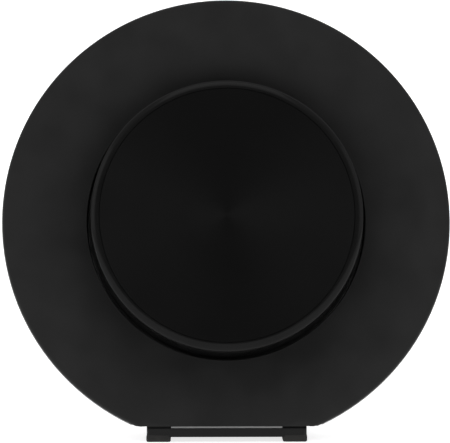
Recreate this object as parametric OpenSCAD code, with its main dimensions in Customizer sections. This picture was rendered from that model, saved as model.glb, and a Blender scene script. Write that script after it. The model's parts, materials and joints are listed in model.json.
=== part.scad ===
// Smart home hub: a leaning disc on a low foot, with a large round dial that turns and presses.
// The disc has its own frame: X to the right, Y up the face, and W out of the face, counted from the
// plane of the disc's rim. tilted() carries that frame to the table's frame, where Z is up.

/* [Disc] */
// Diameter of the disc
disc_d = 140; // [134:1:170]
// Angle that the face leans back from upright
lean = 9; // [6:1:18]
// Width of the flat across the disc's bottom
flat_w = 56; // [54:0.2:66]
// Height of that flat above the table
flat_z = 5; // [4:0.1:8]
// Wall of the covers
wall = 2; // [1.6:0.1:2.4]
// Thickness of the front cover's edge
edge_t = 3; // [2.4:0.1:4]
// Rounding of the front cover's edge
edge_round = 0.8; // [0.3:0.1:1.4]
// Thickness of the silver trim ring behind that edge
trim_t = 3; // [2:0.1:4]
// How far the trim ring stands out round the front cover's edge
trim_proud = 0.3; // [0:0.1:0.6]
// Depth of the dish round the dial
dish_depth = 2.5; // [1:0.1:4]
// Width of the level band outside the dish
dish_band = 4; // [2:0.5:8]
// Depth of the rear cover's back behind the rim plane
rear_depth = 30; // [29:0.5:38]
// Radius of the flat part of the back
rear_flat_r = 48; // [44:1:54]

/* [Dial] */
// Diameter of the dial at its top
dial_d = 83.6; // [80:0.2:90]
// How much wider the dial's radius is at its foot
dial_draft = 1; // [0:0.1:1.4]
// Height of the dial's top above the rim plane
dial_proud = 15; // [9:0.5:18]
// How far the dial's skirt reaches below the rim plane
dial_skirt = 7; // [5:0.5:7.4]
// Rounding of the dial's edge
dial_edge = 2.5; // [1:0.1:3]
// Side wall of the dial
dial_wall = 2; // [1.8:0.1:3]
// Thickness of the dial's top
dial_top_t = 2.5; // [2:0.1:3]
// Thickness of the spun face let into the dial's top
face_t = 0.6; // [0.3:0.1:1]
// Clear gap between dial and front cover
dial_gap = 0.8; // [0.6:0.1:2]
// How far the dial presses in
press_travel = 0.6; // [0.2:0.1:0.7]

/* [Bearing] */
// Radius of each ball
ball_r = 1.2; // [1:0.1:1.4]
// Number of balls
ball_count = 24; // [12:1:30]
// Axial width of the races
race_w = 4; // [3.4:0.1:4.4]
// Radial thickness of each race at its land
race_t = 2; // [1.6:0.1:2.6]
// Running clearance of balls and guide posts
running = 0.05; // [0.02:0.01:0.1]

/* [Inside] */
// Depth of the chassis plate's front face behind the rim plane
well_depth = 10.6; // [10.4:0.1:13]
// Thickness of the chassis plate
chassis_t = 1.5; // [1:0.1:2.5]
// Radius of the chassis plate, where the dial's well leaves room for its screws
plate_r = 51.2; // [51:0.1:53]
// Radius of the guide posts
post_r = 2; // [1.5:0.1:2.4]
// Thickness of the front board
thin_board_t = 0.8; // [0.6:0.1:1]
// Thickness of the main board
board_t = 1.6; // [1:0.1:2]
// Width of the main board
board_w = 64; // [60:1:64]
// Height of the main board
board_h = 36; // [34:1:38]
// Radius of the speaker
speaker_r = 15; // [12:0.5:16]

/* [Foot] */
// Width of the foot
foot_w = 49.6; // [44:0.2:56]
// Depth of the foot, front to back
foot_l = 44; // [40:1:46]
// Thickness of the rubber pads below the foot
pad_proud = 1.5; // [1:0.1:2]
// Width of each rubber pad and of the ribs above them
pad_w = 7.6; // [5:0.2:10]
// Slot between foot and disc
foot_slot = 0.8; // [0.5:0.1:1]

/* [Fits and fasteners] */
// Clearance round parts that drop into a recess
clear = 0.1; // [0.05:0.05:0.3]
// Radius of the screws' shanks
screw_r = 1.4; // [1:0.1:1.5]
// Radius of the screws' heads
screw_head_r = 2.6; // [2.2:0.1:2.8]
// Height of the screws' heads
screw_head_h = 1.4; // [1:0.1:1.6]
// Radius of the reset button
reset_r = 2.45; // [2:0.05:3]
// Travel of the reset button
reset_travel = 0.5; // [0.2:0.1:0.6]

/* [Hidden] */
$fn = 96;
far = 200;               // reach of a cut that runs past everything
cut = 1;                 // how far a cut starts outside the surface it opens

// Disc
disc_r = disc_d / 2;
flat_drop = sqrt(disc_r * disc_r - flat_w * flat_w / 4);
centre_z = flat_z + flat_drop * cos(lean);
trim_r = disc_r + trim_proud;
trim_width = 3;
trim_in_r = trim_r - trim_width;
w_edge = -edge_t;
w_trim = w_edge - trim_t;
w_back = -rear_depth;
w_back_in = w_back + wall;
rear_r = trim_r - 0.4;
rear_swell = rear_r - rear_flat_r;            // how far the back's curve spreads past its flat
rear_drop = w_trim - w_back;                  // and how deep that curve is
lip_t = 1.5;
lip_w = 2.6;

// Dial and its bearing
dial_r = dial_d / 2;
dial_foot_r = dial_r + dial_draft;
dial_in_r = dial_r - dial_wall;
well_r = dial_foot_r + dial_gap;
well_wall = 1.8;
well_out_r = well_r + well_wall;
dish_out_r = disc_r - dish_band;
w_under_top = dial_proud - dial_top_t;
face_r = dial_r - dial_edge - 0.2;
rib_t = 1.6;
race_out_r = dial_in_r - rib_t - 1.6;
race_land = ball_r / 2;                       // from the ball circle to each race's land
pitch_r = race_out_r - race_t - race_land;
race_in_r = pitch_r - race_land - race_t;
race_lo = 0.5;
race_hi = race_lo + race_w;
race_mid = race_lo + race_w / 2;
race_shoulder = 0.8;
cage_t = race_land * 4 / 3;
cage_w = 2 * ball_r + 0.8;
retainer_t = 0.8;
clip_t = 0.6;
clip_width = 1.8;
neck_t = 0.6;
code_t = 0.6;
code_width = 5;
code_out_r = race_in_r - 2.4;
code_slots = 48;

// Press mechanism
w_well = -well_depth;
w_board_top = w_well + thin_board_t;
carrier_t = 1.5;
carrier_ring_t = 2;
post_circle_r = race_in_r - 11.4;
post_top = race_lo + 3;
post_angles = [30, 150, 270];
sleeve_r = post_r + 1.6;
sleeve_down = 3;
guide_head_r = post_r + 1.3;
guide_head_h = 1.5;
spring_wire_r = 0.3;
spring_r = post_r + 0.9;
spring_turns = 5;
plunger_r = 2.4;
switch_side = 6.2;
switch_h = 2.9;
stem_r = 1.7;
stem_out = 0.6;
w_switch_top = w_board_top + switch_h;
pedestal_r = code_out_r - 3.5;
encoder_w = 9;
encoder_h = 6;
sensor_t = 1;
code_gap = 0.6;
w_sensor_top = w_under_top - code_t - code_gap;
w_encoder = w_sensor_top - sensor_t - thin_board_t;
flex_t = 0.2;
flex_w = 6;
flex_at = [17, -12];
flex_arm = 8;

// Light
light_t = 2.2;
light_out_r = well_r - 0.2;
light_in_r = dial_in_r + 0.7;
front_board_r = light_in_r - 0.5;
led_count = 12;
led = [1, 1.6, 0.8];

// Chassis and main board
w_chassis = w_well - chassis_t;
chassis_r = max(plate_r, well_out_r + 5.8);
skirt_t = 1.2;
skirt_l = 7.9;
chassis_screw_r = chassis_r - 3.8;
chassis_boss_r = 2.6;
small_head_r = 2.1;
small_screw_r = 1;
standoff_h = 1.9;
standoff_r = 2.6;
w_board = w_chassis - standoff_h;
w_board_back = w_board - board_t;
board_y = -board_h / 2;
board_hole_x = board_w / 2 - 3.2;
board_holes = [for (x = [-1, 1], y = [-3.2, 3.6 - board_h]) [x * board_hole_x, y]];
link = [12, 4];
link_at = [-18, -20];
can = [22, 16, 2.6];
can_y = -9;
pad_t = 1;
spreader = [50, 26, 1.5];
spreader_y = -4;
module_size = [12, 15, 2.2];
module_x = 18.5;
antenna_t = 0.6;
antenna_w = 6;
antenna_span = 34;
antenna_angles = [50, 90, 130];

// Sockets and reset button
port_y = -26;
port_set_back = 0.4;
ethernet_x = -15;
ethernet = [16, 13.5];
ethernet_hole = [11.8, 8.4];
ethernet_key = [6.2, 2.4];
ethernet_depth = 12;
power_x = 4;
power = [9, 3.4];
power_hole = [8.4, 2.7];
power_depth = 7;
power_tongue = [6.8, 0.7];
reset_x = 18;
reset_proud = 0.6;
reset_flange_r = reset_r + 1;
reset_flange_t = 0.8;
reset_switch_side = 6.2;
reset_switch_h = 2.8;
reset_stem_r = 0.9;
reset_stem_out = 0.7;
w_reset_switch = w_board_back - reset_switch_h;

// Speaker
speaker_y = 31;
gasket_t = 1;
w_speaker = w_back_in + gasket_t;
basket_h = 6;
magnet_r = speaker_r * 0.56;
magnet_h = 4.4;
flange_t = 1;
cone_r = speaker_r - 3;
surround_r = speaker_r - 2.2;

// Fasteners between the covers
pillar_r = screw_head_r + 1;
boss_r = screw_r + 1.7;
w_joint = w_trim - 2.2;
cover_screw_r = (chassis_r + antenna_t + trim_in_r - lip_t) / 2;
cover_screw_angles = [38, 142, 218, 322];
cover_head_w = w_joint - 6;
pilot_r = screw_r + running;
hole_r = screw_r + 0.2;

// Foot
foot_t = flat_z - pad_proud - foot_slot;
foot_round = 1;
pad_set_in = 0.6;
pad_l = 8;
pad_stand_out = 0.15;                         // how far the pads stand out of the foot's front and sides
pad_x = (foot_w - pad_w) / 2 + pad_stand_out;
rib_l = 22;
rib_w = 7.4;
rib_x = (foot_w - rib_w) / 2;
foot_plate_t = foot_slot - 0.3;              // leaves a little air under the disc
foot_plate_w = foot_w - 2 * rib_w - 0.4;

// The disc's centre is placed so that the whole object is centred front to back.
front_reach = (dial_r - dial_edge) * sin(lean) + (dial_proud - dial_edge) * cos(lean) + dial_edge;
rear_reach = rear_flat_r * sin(lean) - w_trim * cos(lean)
    + sqrt(pow(rear_swell * sin(lean), 2) + pow(rear_drop * cos(lean), 2));
centre_y = (front_reach - rear_reach) / 2;
foot_front = centre_y - flat_drop * sin(lean) + 1;
foot_screw_y = centre_y + 4;
foot_boss_h = 4.5;

function arc(c, r, a0, a1, n) = [for (i = [0:n]) c + r * [cos(a0 + (a1 - a0) * i / n), sin(a0 + (a1 - a0) * i / n)]];
function dish_w(r) = -dish_depth * pow((dish_out_r - r) / (dish_out_r - well_r), 2);
function polar(r, a) = [r * cos(a), r * sin(a)];
// Half outline of the back's bowl, t thinner than the outside all round
function bowl(t) = concat([[0, w_trim]],
    [for (i = [0:16]) [rear_flat_r + (rear_swell - t) * cos(i * 90 / 16), w_trim - (rear_drop - t) * sin(i * 90 / 16)]],
    [[0, w_back + t]]);

module tilted() { translate([0, centre_y, centre_z]) rotate([90 - lean, 0, 0]) children(); }
module above(z) { translate([-far, -far, z]) cube(2 * far); }
module tube(r_out, r_in, w0, w1) {
    difference() {
        translate([0, 0, w0]) cylinder(r = r_out, h = w1 - w0);
        translate([0, 0, w0 - cut]) cylinder(r = r_in, h = w1 - w0 + 2 * cut);
    }
}
module rod(at, r, w0, w1) { translate([at[0], at[1], w0]) cylinder(r = r, h = w1 - w0); }
module block(at, size, w0, w1) {
    translate([at[0] - size[0] / 2, at[1] - size[1] / 2, w0]) cube([size[0], size[1], w1 - w0]);
}
module rounded_block(at, size, r, w0, w1) {
    block(at, [size[0] - 2 * r, size[1]], w0, w1);
    block(at, [size[0], size[1] - 2 * r], w0, w1);
    for (x = [-1, 1], y = [-1, 1])
        rod([at[0] + x * (size[0] / 2 - r), at[1] + y * (size[1] / 2 - r)], r, w0, w1);
}
// A disc of the tilted frame, cut flat at height z above the table
module flat_disc(r, w0, w1, z) {
    intersection() {
        tilted() rod([0, 0], r, w0, w1);
        above(z);
    }
}
module flat_ring(r_out, z_out, r_in, z_in, w0, w1) {
    difference() {
        flat_disc(r_out, w0, w1, z_out);
        flat_disc(r_in, w0 - cut, w1 + cut, z_in);
    }
}
module screw(at, w_head, length, r = screw_r, head_r = screw_head_r, head_h = screw_head_h) {
    difference() {
        union() {
            rod(at, head_r, w_head - head_h, w_head);
            rod(at, r, w_head - cut, w_head + length);
        }
        translate([at[0], at[1], w_head - head_h - cut]) cylinder(r = head_r / 2, h = cut + head_h / 2, $fn = 6);
    }
}
module spring(r, wire, length, turns) {
    steps = 12;
    sides = 6;
    n = turns * steps;
    rise = (length - 2 * wire) / n;
    rings = [for (i = [0:n], j = [0:sides - 1]) let (a = i * 360 / steps, b = j * 360 / sides)
        [(r + wire * cos(b)) * cos(a), (r + wire * cos(b)) * sin(a), wire + rise * i + wire * sin(b)]];
    walls = [for (i = [0:n - 1], j = [0:sides - 1]) let (k = (j + 1) % sides)
        each [[i * sides + j, i * sides + k, (i + 1) * sides + k],
              [i * sides + j, (i + 1) * sides + k, (i + 1) * sides + j]]];
    ends = [[for (j = [sides - 1:-1:0]) j], [for (j = [0:sides - 1]) n * sides + j]];
    polyhedron(points = rings, faces = concat(walls, ends), convexity = 8);
}

module front_cover() {
    steps = 14;
    run = [for (i = [0:steps]) well_r + 0.3 + (dish_out_r - well_r - 0.3) * i / steps];
    color([0.05, 0.05, 0.05]) {
        difference() {
            intersection() {
                tilted() union() {
                    rotate_extrude() polygon(concat(
                        [[well_out_r, w_well], [well_r, w_well], [well_r, dish_w(well_r) - 0.3]],
                        [for (r = run) [r, dish_w(r)]],
                        arc([disc_r - edge_round, -edge_round], edge_round, 90, 0, 5),
                        [[disc_r, -wall], [dish_out_r, -wall]],
                        [for (i = [steps - 1:-1:0]) [max(run[i], well_out_r), dish_w(max(run[i], well_out_r)) - wall]]));
                    for (a = cover_screw_angles) rod(polar(cover_screw_r, a), boss_r, w_joint, dish_w(cover_screw_r) - wall / 2);
                    for (a = [0:90:270]) rod(polar(chassis_screw_r, a), chassis_boss_r, w_well, dish_w(chassis_screw_r) - wall / 2);
                }
                above(flat_z);
            }
            tilted() {
                for (a = cover_screw_angles) rod(polar(cover_screw_r, a), pilot_r, w_joint - cut, w_edge);
                for (a = [0:90:270]) rod(polar(chassis_screw_r, a), small_screw_r + running, w_well - cut, w_well + 5.5);
                rod([0, 0], well_r, w_well - cut, cut);
            }
        }
        flat_ring(disc_r, flat_z, trim_in_r, flat_z + trim_width, w_edge, -wall / 2);
    }
}
module trim_ring() {
    color([0.75, 0.76, 0.78]) flat_ring(trim_r, flat_z, trim_in_r, flat_z + trim_width, w_trim, w_edge);
}
module speaker_holes() {
    pitch = 2.8;
    for (i = [-4:4], j = [-4:4])
        let (x = pitch * (i + j / 2), y = pitch * j * sin(60))
            if (norm([x, y]) < cone_r - 1) rod([x, speaker_y + y], 0.9, w_back - cut, w_back_in + cut);
}
module rear_cover() {
    vent = [9, 1.6];
    z_lip = flat_z + trim_width + clear;
    color([0.08, 0.08, 0.09]) difference() {
        union() {
            difference() {
                intersection() { tilted() rotate_extrude() polygon(bowl(0)); above(flat_z); }
                intersection() {
                    tilted() rotate_extrude() polygon(bowl(wall));
                    above(flat_z + wall);
                }
            }
            flat_ring(rear_r - wall / 2, flat_z + wall / 2, trim_in_r - clear - lip_t, z_lip + lip_t, w_trim - lip_w, w_trim);
            flat_ring(trim_in_r - clear, z_lip, trim_in_r - clear - lip_t, z_lip + lip_t, w_trim - cut, w_edge + 0.4);
            intersection() {
                tilted() {
                    rotate_extrude() polygon(bowl(wall / 2));
                }
                union() {
                    tilted() for (a = cover_screw_angles) rod(polar(cover_screw_r, a), pillar_r, w_back, w_joint);
                    for (x = [-1, 1]) rod([x * pad_x, foot_screw_y], boss_r, flat_z + wall / 2, flat_z + wall + foot_boss_h);
                }
            }
        }
        tilted() {
            for (a = cover_screw_angles) {
                rod(polar(cover_screw_r, a), hole_r, w_back - cut, w_joint + cut);
                rod(polar(cover_screw_r, a), screw_head_r + 0.3, w_back - cut, cover_head_w);
            }
            block([ethernet_x, port_y], ethernet + [clear, clear] * 2, w_back - cut, w_back_in + cut);
            rounded_block([power_x, port_y], power + [clear, clear] * 2, power[1] / 2 - clear, w_back - cut, w_back_in + cut);
            rod([reset_x, port_y], reset_r + running, w_back - cut, w_back_in + cut);
            for (side = [0, 180], k = [-3:3])
                rotate(side + k * 8) block([rear_flat_r - 8, 0], vent, w_back - cut, w_back_in + cut);
            speaker_holes();
        }
        for (x = [-1, 1]) rod([x * pad_x, foot_screw_y], pilot_r, flat_z - cut, flat_z + wall + foot_boss_h - 0.6);
    }
}
module chassis_plate() {
    color([0.6, 0.61, 0.63]) tilted() difference() {
        union() {
            rod([0, 0], chassis_r, w_chassis, w_well);
            tube(chassis_r, chassis_r - skirt_t, w_chassis - skirt_l, w_well);
            for (a = post_angles) rod(polar(post_circle_r, a), post_r, w_chassis, post_top);
            for (p = board_holes) rod(p, standoff_r, w_board, w_well);
        }
        for (a = post_angles) rod(polar(post_circle_r, a), small_screw_r, post_top - 6, post_top + cut);
        for (a = [0:90:270]) rod(polar(chassis_screw_r, a), small_screw_r + 0.2, w_chassis - cut, w_well + cut);
        for (p = board_holes) rod(p, small_screw_r + running, w_board - cut, w_board + 3);
        block(link_at, link + [clear, clear] * 4, w_chassis - cut, w_well + cut);
    }
}
module front_board() {
    color([0.05, 0.25, 0.12]) tilted() difference() {
        rod([0, 0], front_board_r, w_well, w_board_top);
        for (a = post_angles) rod(polar(post_circle_r, a), spring_r + spring_wire_r + 0.6, w_well - cut, w_board_top + cut);
    }
}
module status_leds() {
    color([0.95, 0.93, 0.8]) tilted() for (k = [0:led_count - 1])
        rotate(k * 360 / led_count) block([front_board_r - led[0], 0], led, w_board_top, w_board_top + led[2]);
}
module light_ring() { color([0.2, 0.2, 0.22]) tilted() tube(light_out_r, light_in_r, w_well, w_well + light_t); }
module press_switch() {
    color([0.1, 0.1, 0.1]) tilted() difference() {
        block([0, 0], [switch_side, switch_side], w_board_top, w_switch_top);
        rod([0, 0], stem_r + running, w_board_top + 0.4, w_switch_top + cut);
    }
}
module press_stem() {
    color([0.8, 0.78, 0.7]) tilted() rod([0, 0], stem_r, w_board_top + 0.4 + press_travel + 0.3, w_switch_top + stem_out);
}
module press_springs() {
    color([0.7, 0.7, 0.72]) tilted() for (a = post_angles)
        translate(concat(polar(post_circle_r, a), [w_well])) spring(spring_r, spring_wire_r, well_depth - sleeve_down, spring_turns);
}
module guide_screws() {
    color([0.5, 0.5, 0.52]) tilted() for (a = post_angles)
        translate(concat(polar(post_circle_r, a), [0])) mirror([0, 0, 1])
            screw([0, 0], -post_top, 5.5, small_screw_r - running, guide_head_r, guide_head_h);
}
module board_link() { color([0.1, 0.1, 0.1]) tilted() block(link_at, link, w_board, w_well); }
module encoder_flex() {
    top = -carrier_t;
    bend_r = (top - w_board_top) / 2;
    mid = (top + w_board_top) / 2;
    color([0.75, 0.45, 0.1]) tilted() translate([flex_at[0], flex_at[1] + flex_w / 2, mid]) rotate([90, 0, 0]) {
        for (s = [0, 1]) mirror([0, s, 0]) translate([-flex_arm, bend_r - flex_t, 0]) cube([flex_arm, flex_t, flex_w]);
        intersection() {
            tube(bend_r, bend_r - flex_t, 0, flex_w);
            translate([0, -far, -cut]) cube(2 * far);
        }
    }
}
module main_board() {
    color([0.05, 0.3, 0.15]) tilted() difference() {
        rounded_block([0, board_y], [board_w, board_h], 2, w_board_back, w_board);
        for (p = board_holes) rod(p, small_screw_r + 0.2, w_board_back - cut, w_board + cut);
    }
}
module shield_can() {
    color([0.8, 0.8, 0.82]) tilted() rounded_block([0, can_y], [can[0], can[1]], 0.8, w_board_back - can[2], w_board_back);
}
module heat_pad() {
    color([0.6, 0.7, 0.8]) tilted() block([0, can_y], [can[0] - 4, can[1] - 4], w_board_back - can[2] - pad_t, w_board_back - can[2]);
}
module heat_spreader() {
    w = w_board_back - can[2] - pad_t;
    color([0.7, 0.71, 0.73]) tilted() rounded_block([0, spreader_y], [spreader[0], spreader[1]], 2, w - spreader[2], w);
}
module radio_board(side) {
    w = w_board_back - thin_board_t;
    rounded_block([side * module_x, can_y], [module_size[0], module_size[1]], 0.5, w, w_board_back);
    rounded_block([side * module_x, can_y - 1.4], [module_size[0] - 1.6, module_size[1] - 4.4], 0.5, w_board_back - module_size[2], w);
}
module radio_module() { color([0.7, 0.7, 0.72]) tilted() radio_board(1); }
module wireless_module() { color([0.7, 0.7, 0.72]) tilted() radio_board(-1); }
module board_chips() {
    color([0.08, 0.08, 0.08]) tilted() {
        block([-3.2, -31], [5, 4], w_board_back - 1, w_board_back);
        block([power_x, -20.5], [4, 4], w_board_back - 2, w_board_back);
        block([11.5, -20.5], [5, 3], w_board_back - 1, w_board_back);
        for (k = [0:3]) block([11 + 3 * k, -32.4], [1.2, 2], w_board_back - 0.8, w_board_back);
    }
}
module ethernet_socket() {
    mouth = w_back + port_set_back;
    at = [ethernet_x, port_y];
    color([0.75, 0.75, 0.76]) tilted() difference() {
        block(at, ethernet, mouth, w_board_back);
        block(at, ethernet_hole, mouth - cut, mouth + ethernet_depth);
        block(at + [0, -(ethernet_hole[1] + ethernet_key[1]) / 2 + 0.1], ethernet_key, mouth - cut, mouth + ethernet_depth);
    }
}
module power_socket() {
    mouth = w_back + port_set_back;
    at = [power_x, port_y];
    color([0.7, 0.7, 0.72]) tilted() {
        difference() {
            rounded_block(at, power, power[1] / 2 - clear, mouth, w_board_back);
            rounded_block(at, power_hole, power_hole[1] / 2 - clear, mouth - cut, mouth + power_depth);
        }
        block(at, power_tongue, mouth + 0.8, mouth + power_depth);
    }
}
module reset_switch() {
    color([0.1, 0.1, 0.1]) tilted() difference() {
        block([reset_x, port_y], [reset_switch_side, reset_switch_side], w_reset_switch, w_board_back);
        rod([reset_x, port_y], reset_stem_r + running, w_reset_switch - cut, w_board_back - 0.6);
    }
}
module reset_stem() {
    color([0.8, 0.78, 0.7]) tilted()
        rod([reset_x, port_y], reset_stem_r, w_reset_switch - reset_stem_out, w_board_back - 0.6 - reset_travel - 0.3);
}
module reset_button() {
    at = [reset_x, port_y];
    color([0.15, 0.15, 0.16]) tilted() {
        rod(at, reset_r, w_back - reset_proud, w_back_in + clear);
        rod(at, reset_flange_r, w_back_in + clear, w_back_in + clear + reset_flange_t);
        rod(at, reset_r / 2, w_back_in + clear, w_reset_switch - reset_stem_out);
    }
}
module speaker_frame() {
    color([0.12, 0.12, 0.12]) tilted() translate([0, speaker_y, w_speaker]) difference() {
        rotate_extrude() polygon([[0, basket_h], [magnet_r + 0.6, basket_h], [speaker_r - 2, flange_t],
            [speaker_r, flange_t], [speaker_r, 0], [0, 0]]);
        rotate_extrude() polygon([[0, basket_h - 1], [magnet_r - 0.4, basket_h - 1], [cone_r, flange_t],
            [surround_r + clear, flange_t], [surround_r + clear, -cut], [0, -cut]]);
    }
}
module speaker_cone() {
    color([0.2, 0.2, 0.2]) tilted() translate([0, speaker_y, w_speaker]) rotate_extrude() polygon([[0, 1], [3, 1.4],
        [4, 2.6], [cone_r - 0.6, flange_t - 0.4], [surround_r, flange_t - 0.4], [surround_r, flange_t],
        [cone_r - 0.6, flange_t], [4, 3.1], [0, 3.1]]);
}
module speaker_magnet() {
    color([0.45, 0.45, 0.47]) tilted() rod([0, speaker_y], magnet_r, w_speaker + basket_h, w_speaker + basket_h + magnet_h);
}
module speaker_gasket() {
    color([0.03, 0.03, 0.03]) tilted() translate([0, speaker_y, 0]) tube(speaker_r, speaker_r - 2, w_back_in, w_speaker);
}
module antennas() {
    color([0.8, 0.6, 0.25]) tilted() for (a = antenna_angles) rotate(a - antenna_span / 2)
        rotate_extrude(angle = antenna_span)
            translate([chassis_r, w_chassis - antenna_w]) square([antenna_t, antenna_w]);
}
module cover_screws() {
    color([0.25, 0.25, 0.26]) tilted() for (a = cover_screw_angles)
        screw(polar(cover_screw_r, a), cover_head_w, w_edge - 0.8 - cover_head_w);
}
module chassis_screws() {
    color([0.7, 0.7, 0.72]) tilted() for (a = [0:90:270])
        screw(polar(chassis_screw_r, a), w_chassis, chassis_t + 5, small_screw_r, small_head_r, 1.2);
}
module board_screws() {
    color([0.7, 0.7, 0.72]) tilted() for (p = board_holes)
        screw(p, w_board_back, board_t + 2.6, small_screw_r, small_head_r, 1.2);
}
module foot() {
    centre = [0, foot_front + foot_l / 2];
    color([0.07, 0.07, 0.07]) difference() {
        union() {
            rounded_block(centre, [foot_w, foot_l], foot_round, pad_proud, pad_proud + foot_t);
            for (x = [-1, 1]) block([x * rib_x, foot_front + foot_round + rib_l / 2], [rib_w, rib_l], pad_proud, flat_z);
        }
        for (x = [-1, 1]) {
            for (y = pad_places()) rounded_block([x * pad_x, y], [pad_w, pad_l], foot_round, 0, pad_proud + pad_set_in);
            rod([x * pad_x, foot_screw_y], hole_r, 0, flat_z + cut);
            rod([x * pad_x, foot_screw_y], screw_head_r + 0.2, 0, flat_z - screw_head_h + 0.1);
        }
    }
}
function pad_places() = [foot_front - pad_stand_out + pad_l / 2, foot_front + foot_l + pad_stand_out - pad_l / 2];
module foot_pads() {
    color([0.04, 0.04, 0.04]) for (x = [-1, 1], y = pad_places())
        rounded_block([x * pad_x, y], [pad_w, pad_l], foot_round, 0, pad_proud + pad_set_in);
}
module foot_plate() {
    top = pad_proud + foot_t;
    color([0.72, 0.73, 0.75])
        block([0, foot_front + foot_l / 2], [foot_plate_w, foot_l - 0.8], top, top + foot_plate_t);
}
module foot_screws() {
    w_head = flat_z - screw_head_h + 0.1;
    color([0.25, 0.25, 0.26]) for (x = [-1, 1]) screw([x * pad_x, foot_screw_y], w_head, flat_z + wall + foot_boss_h - 1 - w_head);
}
module press_carrier() {
    w_low = w_switch_top + stem_out;
    color([0.85, 0.85, 0.82]) tilted() difference() {
        union() {
            rod([0, 0], race_in_r + race_t - 0.4, -carrier_t, race_lo);
            tube(race_in_r, race_in_r - carrier_ring_t, -carrier_t, race_hi);
            tube(race_in_r - neck_t, race_in_r - carrier_ring_t, race_hi - cut, race_hi + clip_t + 0.4);
            for (a = post_angles) rod(polar(post_circle_r, a), sleeve_r, -sleeve_down, post_top - running);
            rod([0, 0], plunger_r, w_low, 0);
            block([0, pedestal_r], [encoder_w - 1, encoder_h - 1], -carrier_t, w_encoder);
        }
        difference() {
            rod([0, 0], race_in_r - carrier_ring_t, 0, race_lo + cut);
            for (a = post_angles) rod(polar(post_circle_r, a), sleeve_r, -cut, race_hi);
            block([0, pedestal_r], [encoder_w - 1, encoder_h - 1], -cut, race_hi);
        }
        for (a = post_angles) {
            rod(polar(post_circle_r, a), post_r + running, -far, far);
            rod(polar(post_circle_r, a + 180) * 0.72, 4, -far, far);
        }
    }
}
module groove() { translate([0, 0, race_mid]) rotate_extrude() translate([pitch_r, 0]) circle(r = ball_r + running, $fn = 48); }
module inner_race() {
    color([0.72, 0.73, 0.75]) tilted() difference() {
        tube(race_in_r + race_t, race_in_r, race_lo, race_hi);
        groove();
    }
}
module outer_race() {
    color([0.72, 0.73, 0.75]) tilted() difference() {
        tube(race_out_r, race_out_r - race_t, race_lo, race_hi);
        groove();
    }
}
module race_clip() {
    color([0.5, 0.5, 0.52]) tilted() difference() {
        tube(race_in_r - neck_t + clip_width, race_in_r - neck_t, race_hi, race_hi + clip_t);
        rotate(45) block([race_in_r, 0], [8, 3], 0, far);
    }
}
module ball_ring(r) {
    for (k = [0:ball_count - 1]) rotate(k * 360 / ball_count) translate([pitch_r, 0, race_mid]) sphere(r = r, $fn = 32);
}
module bearing_balls() { color([0.85, 0.86, 0.88]) tilted() ball_ring(ball_r); }
module ball_cage() {
    color([0.75, 0.6, 0.3]) tilted() difference() {
        tube(pitch_r + cage_t / 2, pitch_r - cage_t / 2, race_mid - cage_w / 2, race_mid + cage_w / 2);
        for (k = [0:ball_count - 1]) rotate(k * 360 / ball_count)
            translate([pitch_r - cage_t, 0, race_mid]) rotate([0, 90, 0]) cylinder(r = ball_r + running, h = 2 * cage_t, $fn = 32);
    }
}
module encoder_board() {
    color([0.05, 0.3, 0.15]) tilted() block([0, pedestal_r], [encoder_w, encoder_h], w_encoder, w_encoder + thin_board_t);
}
module encoder_sensor() {
    color([0.1, 0.1, 0.1]) tilted() block([0, pedestal_r + 0.5], [4, 3.4], w_sensor_top - sensor_t, w_sensor_top);
}
module dial_cap() {
    color([0.06, 0.06, 0.06]) tilted() rotate_extrude() polygon(concat(
        [[0, w_under_top], [race_out_r - race_shoulder, w_under_top], [race_out_r - race_shoulder, race_hi],
         [race_out_r, race_hi], [race_out_r, race_lo], [race_out_r + rib_t, race_lo], [race_out_r + rib_t, w_under_top],
         [dial_in_r, w_under_top], [dial_in_r, -dial_skirt], [dial_foot_r, -dial_skirt]],
        arc([dial_r - dial_edge, dial_proud - dial_edge], dial_edge, 0, 90, 8),
        [[face_r + clear, dial_proud], [face_r + clear, dial_proud - face_t], [0, dial_proud - face_t]]));
}
module dial_face() { color([0.09, 0.09, 0.09]) tilted() rod([0, 0], face_r, dial_proud - face_t, dial_proud); }
module dial_retainer() {
    color([0.5, 0.5, 0.52]) tilted() tube(race_out_r + rib_t, race_out_r - race_t + 0.8, race_lo - retainer_t, race_lo);
}
module code_ring() {
    color([0.85, 0.85, 0.87]) tilted() difference() {
        tube(code_out_r, code_out_r - code_width, w_under_top - code_t, w_under_top);
        for (k = [0:code_slots - 1]) rotate(k * 360 / code_slots)
            block([code_out_r - code_width / 2, 0], [code_width - 1.4, 1.4], w_under_top - code_t - cut, w_under_top + cut);
    }
}

front_cover();
trim_ring();
rear_cover();
chassis_plate();
front_board();
status_leds();
light_ring();
press_switch();
press_springs();
guide_screws();
board_link();
encoder_flex();
main_board();
shield_can();
heat_pad();
heat_spreader();
radio_module();
wireless_module();
board_chips();
ethernet_socket();
power_socket();
reset_switch();
speaker_frame();
speaker_cone();
speaker_magnet();
speaker_gasket();
antennas();
cover_screws();
chassis_screws();
board_screws();
foot();
foot_screws();
foot_pads();
foot_plate();
press_carrier();
inner_race();
race_clip();
encoder_board();
encoder_sensor();
press_stem();
dial_cap();
dial_face();
outer_race();
dial_retainer();
code_ring();
ball_cage();
bearing_balls();
reset_button();
reset_stem();
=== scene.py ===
# %% [markdown]
# # A smart home hub with a turning, pressing dial
# The CAD model is loaded first and stays where it is. It gives every place and size: a leaning disc on a
# low foot, a dished front cover, a big dial, and all that is inside. This lesson adds the looks. The
# pieces that an eye lands on are modelled again with finer edges, and each piece gets its own finish.

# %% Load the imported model
import json
import math
import bpy
from mathutils import Matrix, Vector


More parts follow.
